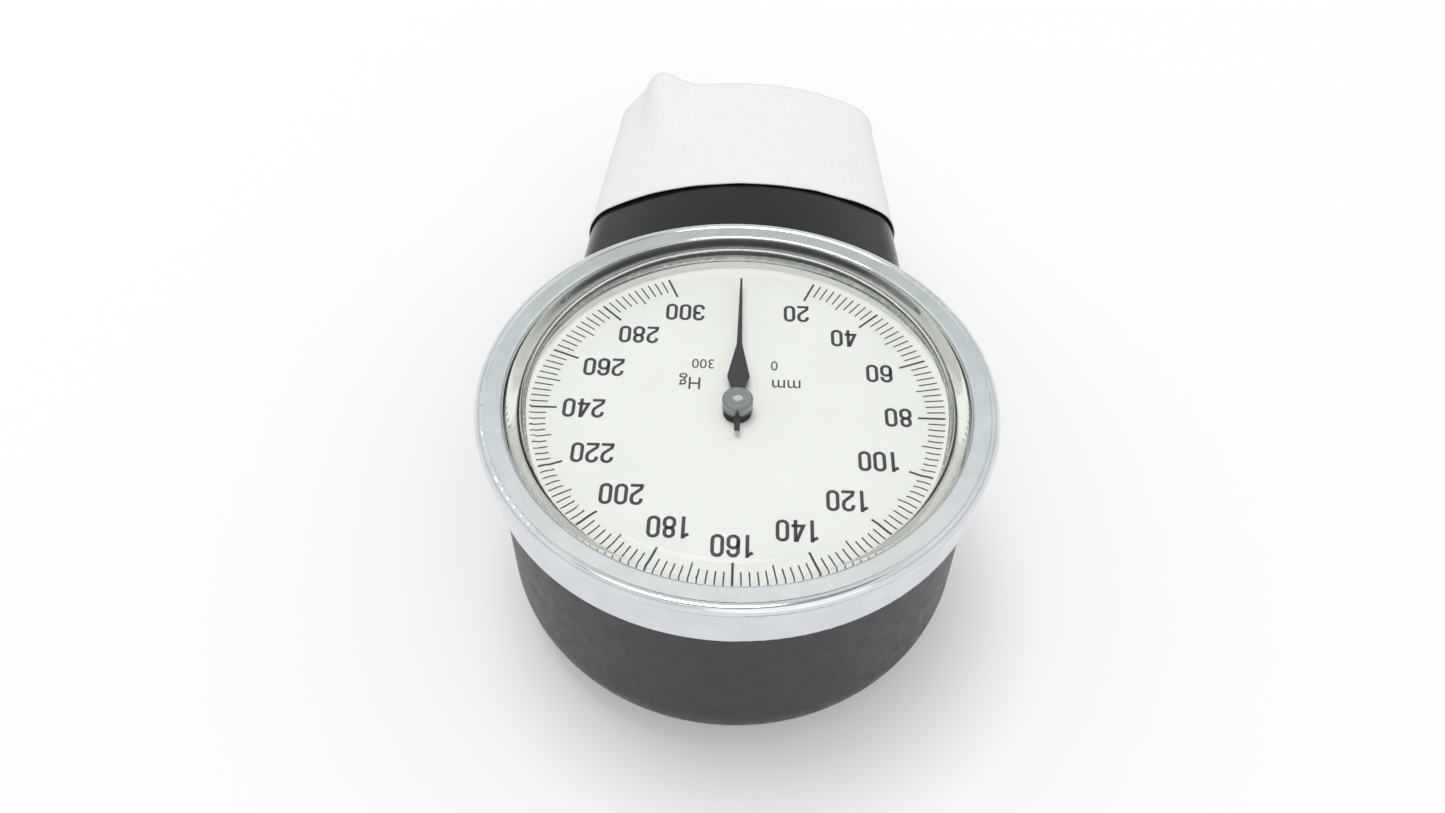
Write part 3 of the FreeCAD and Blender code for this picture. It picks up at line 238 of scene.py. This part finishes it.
LOOKS = {
    "case_paint": painted("case_enamel", (0.033, 0.033, 0.037), 0.42),
    "chrome": metal("chrome_plate", (0.70, 0.725, 0.735), 0.10, turned=True),
    "clear_acrylic": acrylic("clear_acrylic"),
    "dial_white": painted("dial_enamel", (0.93, 0.935, 0.89), 0.5, 0.2, 0.002, 0.012),
    "pointer_black": painted("pointer_enamel", (0.014, 0.014, 0.016), 0.42, 0.15, 0.002),
    "hub_grey": metal("hub_metal", (0.27, 0.275, 0.28), 0.30, turned=True, line_mm=0.06),
    "brass": metal("brass", (0.78, 0.58, 0.27), 0.30),
    "steel": metal("steel", (0.60, 0.61, 0.62), 0.26),
    "spring_bronze": metal("spring_bronze", (0.62, 0.42, 0.22), 0.25),
    "capsule_metal": metal("capsule_bronze", (0.68, 0.50, 0.32), 0.32, turned=True),
    "grey_gasket": painted("grey_gasket", (0.80, 0.81, 0.80), 0.7, 0.2, 0.006),
    "black_rubber": painted("black_rubber", (0.02, 0.02, 0.02), 0.75, 0.2, 0.008),
    "neck_black": moulded("neck_plastic", (0.008, 0.009, 0.011), 0.16),
    "label_paper": paper("label_paper", (0.945, 0.945, 0.93)),
}
PRINT_INK = painted("dial_ink", (0.035, 0.037, 0.042), 0.45, 0.15, 0.001, 0.15)


def dress_nodes():
    """Gives each CAD node the material of its slot."""
    for part in frame["record"]["subparts"]:
        node = frame["nodes"][part["node"]]
        for material_slot in node.material_slots:
            material_slot.material = LOOKS[part["material_slot"]]


# ---------------------------------------------------------------- mesh helpers
def new_piece(name, mesh, body, material):
    """An object for a new mesh, riding on a body."""
    piece = bpy.data.objects.new(name, mesh)
    bpy.context.scene.collection.objects.link(piece)
    mesh.materials.clear()
    mesh.materials.append(material)
    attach(piece, body)
    return piece


def flat_box(bm, corners, low_z, high_z):
    """A thin prism over a flat outline, in millimetres."""
    low = [bm.verts.new(Vector((x, y, low_z)) * MM) for x, y in corners]
    high = [bm.verts.new(Vector((x, y, high_z)) * MM) for x, y in corners]
    bm.faces.new(high)
    bm.faces.new(low[::-1])
    for i in range(len(corners)):
        j = (i + 1) % len(corners)
        bm.faces.new((low[i], low[j], high[j], high[i]))


def to_mesh(bm, name):
    mesh = bpy.data.meshes.new(name)
    bm.to_mesh(mesh)
    bm.free()
    return mesh


# ---------------------------------------------------------------- dial print
DIAL_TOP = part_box("dial_plate")[1].z / MM


def scale_angle(value):
    """Clockwise angle of a value from the zero, which is on +Y."""
    return 2 * math.pi * value / UNITS_PER_TURN


def make_ticks():
    bm = bmesh.new()
    for value in range(SCALE_START, SCALE_END + 1, SCALE_STEP):
        inner, wide = TICK_SHORT_R, TICK_WIDE
        if value % NUMBERED_STEP == 0:
            inner, wide = TICK_LONG_R, TICK_LONG_WIDE
        elif value % MEDIUM_STEP == 0:
            inner = TICK_MEDIUM_R
        angle = scale_angle(value)
        out = Vector((math.sin(angle), math.cos(angle)))
        side = Vector((out.y, -out.x)) * wide / 2
        ends = ((TICK_OUTER_R, -1), (TICK_OUTER_R, 1), (inner, 1), (inner, -1))
        corners = [out * radius + side * hand for radius, hand in ends]
        flat_box(bm, corners, DIAL_TOP, DIAL_TOP + PRINT_THICK)
    new_piece("dial_scale_ticks", to_mesh(bm, "dial_scale_ticks"), "case", PRINT_INK)


def arc_points(centre, radius, start, end, steps=14):
    """Points on an arc, with angles in degrees from +X."""
    angles = [math.radians(start + (end - start) * i / steps) for i in range(steps + 1)]
    return [(centre[0] + radius * math.cos(a), centre[1] + radius * math.sin(a)) for a in angles]


def digit_strokes():
    """For each digit, the middle lines of its strokes, and whether each line is closed."""
    half = DIGIT_STROKE / 2
    left, right, low, top = half, DIGIT_WIDE - half, half, DIGIT_HEIGHT - half
    mid_x, bend = DIGIT_WIDE / 2, DIGIT_WIDE / 2 - half
    waist = DIGIT_HEIGHT * 0.53
    top_bend = arc_points((mid_x, top - bend), bend, 180, 0)
    low_bend = arc_points((mid_x, low + bend), bend, 360, 180)
    stem = DIGIT_WIDE * 0.7

    def loop(low_z, high_z, radius):
        return (arc_points((mid_x, high_z - radius), radius, 180, 0)
                + arc_points((mid_x, low_z + radius), radius, 360, 180), True)

    return {
        "0": [loop(low, top, bend)],
        "1": [([(mid_x + half, 0), (mid_x + half, DIGIT_HEIGHT)], False),
              ([(mid_x - bend * 0.75, top - bend * 0.8), (mid_x + half * 0.9, top - half * 0.4)], False)],
        "2": [([(left, top - bend * 1.35)] + top_bend
               + [(right, top - bend * 1.6), (right * 0.93, waist * 0.98), (left * 1.35, low * 3.4),
                  (left, low * 1.5), (left, low)], False),
              ([(0, low), (DIGIT_WIDE, low)], False)],
        "3": [([(left, top - bend * 1.3)] + top_bend
               + arc_points((mid_x + half, waist + bend * 0.55), bend - half, 0, -90, 8)
               + [(mid_x - half, waist)], False),
              ([(mid_x - half, waist)]
               + arc_points((mid_x + half, waist - bend * 0.55), bend - half, 90, 0, 8)
               + low_bend + [(left, low + bend * 1.3)], False)],
        "4": [([(stem - half * 0.5, top + half * 0.6), (left * 0.9, low * 4),
                (DIGIT_WIDE, low * 4)], False),
              ([(stem, 0), (stem, DIGIT_HEIGHT)], False)],
        "6": [loop(low, waist + half, bend),
              ([(left, low + bend)] + top_bend + [(right, top - bend * 1.35)], False)],
        "8": [loop(low, waist, bend), loop(waist, top, bend * 0.9)],
    }


def add_stroke(bm, points, closed, place):
    """A flat ribbon of the digits' stroke width along the points; place turns (x, y) into a corner."""
    count = len(points)
    rows = []
    for i, point in enumerate(points):
        here = Vector(point)
        before = here - Vector(points[i - 1]) if closed or i else None
        after = Vector(points[(i + 1) % count]) - here if closed or i < count - 1 else None
        before = before or after
        after = after or before
        sides = [Vector((-v.y, v.x)).normalized() for v in (before, after)]
        mitre = (sides[0] + sides[1]).normalized()
        reach = DIGIT_STROKE / 2 / max(0.5, mitre.dot(sides[1]))
        rows.append([bm.verts.new(place(here + mitre * reach * side)) for side in (1, -1)])
    for i in range(count if closed else count - 1):
        a, b = rows[i], rows[(i + 1) % count]
        bm.faces.new((a[0], a[1], b[1], b[0]))


def turned_over(centre, high_z):
    """Places print so that it reads from the far side of the dial, as it does when the gauge hangs."""
    return lambda point: Vector((centre[0] - point[0], centre[1] - point[1], high_z)) * MM


def add_number(bm, text, centre, strokes):
    width = DIGIT_WIDE * len(text) + DIGIT_GAP * (len(text) - 1)
    for i, digit in enumerate(text):
        left = -width / 2 + i * (DIGIT_WIDE + DIGIT_GAP)
        corner = (centre[0] - left, centre[1] + DIGIT_HEIGHT / 2)
        for points, closed in strokes[digit]:
            add_stroke(bm, points, closed, turned_over(corner, DIAL_TOP + PRINT_THICK))


def number_centre(value):
    """Centre of a numeral whose box just reaches the numerals' circle."""
    width = (DIGIT_WIDE + DIGIT_GAP) * len(str(value)) - DIGIT_GAP
    angle = scale_angle(value)
    out = Vector((math.sin(angle), math.cos(angle)))
    return out * (NUMERAL_EDGE_R - (abs(out.x) * width + abs(out.y) * DIGIT_HEIGHT) / 2)


def make_numerals():
    bm = bmesh.new()
    strokes = digit_strokes()
    for value in range(SCALE_START, SCALE_END + 1, NUMBERED_STEP):
        add_number(bm, str(value), number_centre(value), strokes)
    new_piece("dial_numerals", to_mesh(bm, "dial_numerals"), "case", PRINT_INK)


def add_word(bm, body, centre, capital):
    """Adds letters in the built-in face, with capitals of that height, centred on a point."""
    curve = bpy.data.curves.new("letters", "FONT")
    curve.body = body
    curve.align_x = "CENTER"
    curve.resolution_u = 4
    curve.fill_mode = "FRONT"
    holder = bpy.data.objects.new("letters", curve)
    bpy.context.scene.collection.objects.link(holder)
    mesh = bpy.data.meshes.new_from_object(holder.evaluated_get(bpy.context.evaluated_depsgraph_get()))
    bpy.data.objects.remove(holder)
    bpy.data.curves.remove(curve)
    size = capital / FACE_CAPITAL
    place = turned_over((centre[0], centre[1] + capital / 2), DIAL_TOP + PRINT_THICK)
    for v in mesh.vertices:
        v.co = place((v.co.x * size * LETTER_SQUEEZE, v.co.y * size))
    bm.from_mesh(mesh)
    bpy.data.meshes.remove(mesh)


def make_unit_text():
    bm = bmesh.new()
    add_word(bm, "mm", (UNIT_X, UNIT_Y), UNIT_CAPITAL)
    add_word(bm, "Hg", (-UNIT_X, UNIT_Y), UNIT_CAPITAL)
    add_word(bm, "0", (RANGE_X, RANGE_Y), RANGE_CAPITAL)
    add_word(bm, "300", (-RANGE_X, RANGE_Y), RANGE_CAPITAL)
    new_piece("dial_unit_text", to_mesh(bm, "dial_unit_text"), "case", PRINT_INK)


# ---------------------------------------------------------------- paper label
def label_section(tree, y, z):
    """Even points on the CAD label's outside in the plane y, from its -X edge to its +X edge."""
    half_fan, ray_start = 89.8, 0.08    # degrees either side of straight up, and metres from the middle
    centre = Vector((0, y, z))
    points = []
    for i in range(LABEL_RAYS + 1):
        angle = math.radians(-half_fan + 2 * half_fan * i / LABEL_RAYS)
        out = Vector((math.sin(angle), 0, math.cos(angle)))
        points.append(tree.ray_cast(centre + out * ray_start, -out)[0])
    lengths = [0.0]
    for a, b in zip(points, points[1:]):
        lengths.append(lengths[-1] + (b - a).length)
    section, at = [], 0
    for i in range(LABEL_COLUMNS + 1):
        want = lengths[-1] * i / LABEL_COLUMNS
        while at < LABEL_RAYS - 1 and lengths[at + 1] < want:
            at += 1
        share = (want - lengths[at]) / (lengths[at + 1] - lengths[at])
        section.append(points[at].lerp(points[at + 1], share))
    return section, lengths[-1]


def smooth_step(x):
    x = min(1.0, max(0.0, x))
    return x * x * (3 - 2 * x)


def make_label():
    """The blank paper band on the CAD label's surface, with waves, a lifted edge and a standing fold."""
    solid = frame["nodes"]["paper_label"].data
    tree = BVHTree.FromPolygons([v.co for v in solid.vertices], [p.vertices for p in solid.polygons])
    low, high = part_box("paper_label")
    near, length = label_section(tree, low.y + LABEL_INSET * MM, low.z)
    far, far_length = label_section(tree, high.y - LABEL_INSET * MM, low.z)
    across, along = LABEL_COLUMNS, LABEL_ROWS
    outer, inner = [], []
    bm = bmesh.new()
    for j in range(along + 1):
        v = j / along
        for i in range(across + 1):
            u = i / across
            rise = smooth_step((v - PLEAT_START) / (1 - PLEAT_START)) ** 1.3
            drawn = PLEAT_DRAW * MM * rise / length * (1 - u)
            place = u + drawn
            start = low.y + LABEL_SLANT * MM * u
            end = high.y - LABEL_CORNER * MM * max(0.0, 2 * u - 1) ** 2
            y = start + (end - start) * v
            share = (y - low.y) / (high.y - low.y)
            at = min(across - 1e-6, place * across)
            k = int(at)
            a = near[k].lerp(near[k + 1], at - k)
            b = far[k].lerp(far[k + 1], at - k)
            point = a.lerp(b, share)
            side = near[k + 1] - near[k]
            normal = Vector((-side.z, 0, side.x)).normalized()
            from_middle = (place - 0.5) * (length + (far_length - length) * share) / MM
            pleat = PLEAT_HEIGHT * rise * math.exp(-((from_middle - PLEAT_PLACE) / PLEAT_HALF) ** 2)
            wave = noise.noise(Vector((u * 5.0, v * 2.2, 3.7))) * 0.5 + 0.5
            edge = max(1 - v / 0.12, 0, (v - 0.93) / 0.07) ** 2    # its two long edges curl up a little
            lift = LABEL_LIFT * (0.55 * wave + 0.45 * edge * wave)
            point = point + normal * (pleat + lift) * MM
            point.z += LABEL_RIPPLE * MM * noise.noise(Vector((u * 19.0, v * 9.0, 8.1)))
            outer.append(bm.verts.new(point))
            inner.append(bm.verts.new(point - normal * LABEL_THICK * MM))
    row = across + 1
    for j in range(along):
        for i in range(across):
            k = j * row + i
            bm.faces.new((outer[k], outer[k + 1], outer[k + row + 1], outer[k + row]))
            bm.faces.new((inner[k], inner[k + row], inner[k + row + 1], inner[k + 1]))
    rim = (list(range(row))
           + [j * row + across for j in range(1, along + 1)]
           + [along * row + i for i in range(across - 1, -1, -1)]
           + [j * row for j in range(along - 1, 0, -1)])
    for k, m in zip(rim, rim[1:] + rim[:1]):
        bm.faces.new((outer[k], inner[k], inner[m], outer[m]))
    for face in bm.faces:
        face.smooth = True
    label = new_piece("paper_label_sheet", to_mesh(bm, "paper_label_sheet"), "case",
                      LOOKS["label_paper"])
    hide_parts("paper_label")


# ---------------------------------------------------------------- camera, floor and light
def make_camera():
    """Looks at the middle of the dial from the side away from the neck."""
    camera = bpy.data.objects.new("camera", bpy.data.cameras.new("camera"))
    bpy.context.scene.collection.objects.link(camera)
    back = Vector((0, -math.cos(CAMERA_ELEVATION), math.sin(CAMERA_ELEVATION)))
    camera.location = (Vector((0, 0, DIAL_TOP)) + back * CAMERA_DISTANCE) * MM
    aim = (-back).to_track_quat("-Z", "Y").to_matrix().to_4x4()
    camera.matrix_world = Matrix.Translation(camera.location) @ aim @ Matrix.Rotation(CAMERA_ROLL, 4, "Z")
    camera.data.lens = CAMERA_LENS
    camera.data.sensor_width = 36
    camera.data.shift_x, camera.data.shift_y = CAMERA_SHIFT
    camera.data.clip_start = 0.005
    bpy.context.scene.camera = camera


def shader_calls(owner):
    """Empties the node tree of a material or world, and gives its calls that add and link nodes."""
    owner.use_nodes = True
    tree = owner.node_tree
    tree.nodes.clear()
    return tree.nodes.new, tree.links.new


def seen_share(new, link):
    """1 for rays from the camera, straight or by way of metal or clear plastic, and 0 for other light."""
    rays = new("ShaderNodeLightPath").outputs

    def combined(operation, a, b):
        node = new("ShaderNodeMath")
        node.operation = operation
        link(a, node.inputs[0])
        if isinstance(b, float):
            node.inputs[1].default_value = b
        else:
            link(b, node.inputs[1])
        return node.outputs[0]

    seen = combined("MAXIMUM", rays["Is Camera Ray"], rays["Is Glossy Ray"])
    seen = combined("MAXIMUM", seen, rays["Is Transmission Ray"])
    no_bounce = combined("LESS_THAN", rays["Diffuse Depth"], 0.5)
    return combined("MULTIPLY", seen, no_bounce)


def make_floor():
    """A pale floor that is seen near white, with the object's shadow on it."""
    mesh = bpy.data.meshes.new("floor")
    half = FLOOR_HALF
    corners = [(-half, -half, 0), (half, -half, 0), (half, half, 0), (-half, half, 0)]
    mesh.from_pydata(corners, [], [(0, 1, 2, 3)])
    floor = bpy.data.objects.new("floor", mesh)
    bpy.context.scene.collection.objects.link(floor)
    material = bpy.data.materials.new("floor_white")
    new, link = shader_calls(material)
    plain = new("ShaderNodeBsdfDiffuse")
    plain.inputs["Color"].default_value = FLOOR_COLOUR
    glow = new("ShaderNodeEmission")
    strength = new("ShaderNodeMath")
    strength.operation = "MULTIPLY"
    strength.inputs[1].default_value = FLOOR_GLOW
    both = new("ShaderNodeAddShader")
    link(seen_share(new, link), strength.inputs[0])
    link(strength.outputs[0], glow.inputs["Strength"])
    link(plain.outputs[0], both.inputs[0])
    link(glow.outputs[0], both.inputs[1])
    link(both.outputs[0], new("ShaderNodeOutputMaterial").inputs["Surface"])
    mesh.materials.append(material)


def make_world():
    """A pale sky with darker bands that the metal shows, and plain soft light for the rest."""
    world = bpy.data.worlds.new("studio")
    bpy.context.scene.world = world
    new, link = shader_calls(world)
    light = new("ShaderNodeBackground")
    light.inputs["Color"].default_value = (0.98, 0.99, 1.0, 1)
    light.inputs["Strength"].default_value = WORLD_LIGHT
    seen = new("ShaderNodeBackground")
    split = new("ShaderNodeSeparateXYZ")
    ramp = new("ShaderNodeValToRGB")
    stops = ramp.color_ramp.elements
    stops[0].position, stops[0].color = SKY_STOPS[0][0], (*SKY_STOPS[0][1], 1)
    stops[1].position, stops[1].color = SKY_STOPS[-1][0], (*SKY_STOPS[-1][1], 1)
    for position, colour in SKY_STOPS[1:-1]:
        stops.new(position).color = (*colour, 1)
    link(new("ShaderNodeTexCoord").outputs["Generated"], split.inputs[0])
    link(split.outputs["Z"], ramp.inputs["Fac"])
    link(ramp.outputs["Color"], seen.inputs["Color"])
    mix = new("ShaderNodeMixShader")
    link(seen_share(new, link), mix.inputs["Fac"])
    link(light.outputs[0], mix.inputs[1])
    link(seen.outputs[0], mix.inputs[2])
    link(mix.outputs[0], new("ShaderNodeOutputWorld").inputs["Surface"])


def add_lamp(name, place, size, watts):
    """A disc lamp. Refracted rays don't see it: its light reaches the dial by shadow rays alone."""
    lamp = bpy.data.objects.new(name, bpy.data.lights.new(name, "AREA"))
    bpy.context.scene.collection.objects.link(lamp)
    lamp.data.shape = "DISK"
    lamp.data.size = size
    lamp.data.energy = watts
    lamp.location = place
    lamp.visible_transmission = False
    lamp.rotation_mode = "QUATERNION"
    lamp.rotation_quaternion = (Vector(LAMP_AIM) - Vector(place)).to_track_quat("-Z", "Y")


bpy.context.scene.view_settings.view_transform = "Standard"
make_camera()
make_floor()
make_world()
add_lamp("overhead", (-0.20, 0.25, 2.0), 0.9, 12.5)
add_lamp("front", (0.6, -1.5, 1.0), 2.0, 4.5)

dress_nodes()
make_ticks()
make_numerals()
make_unit_text()
make_label()
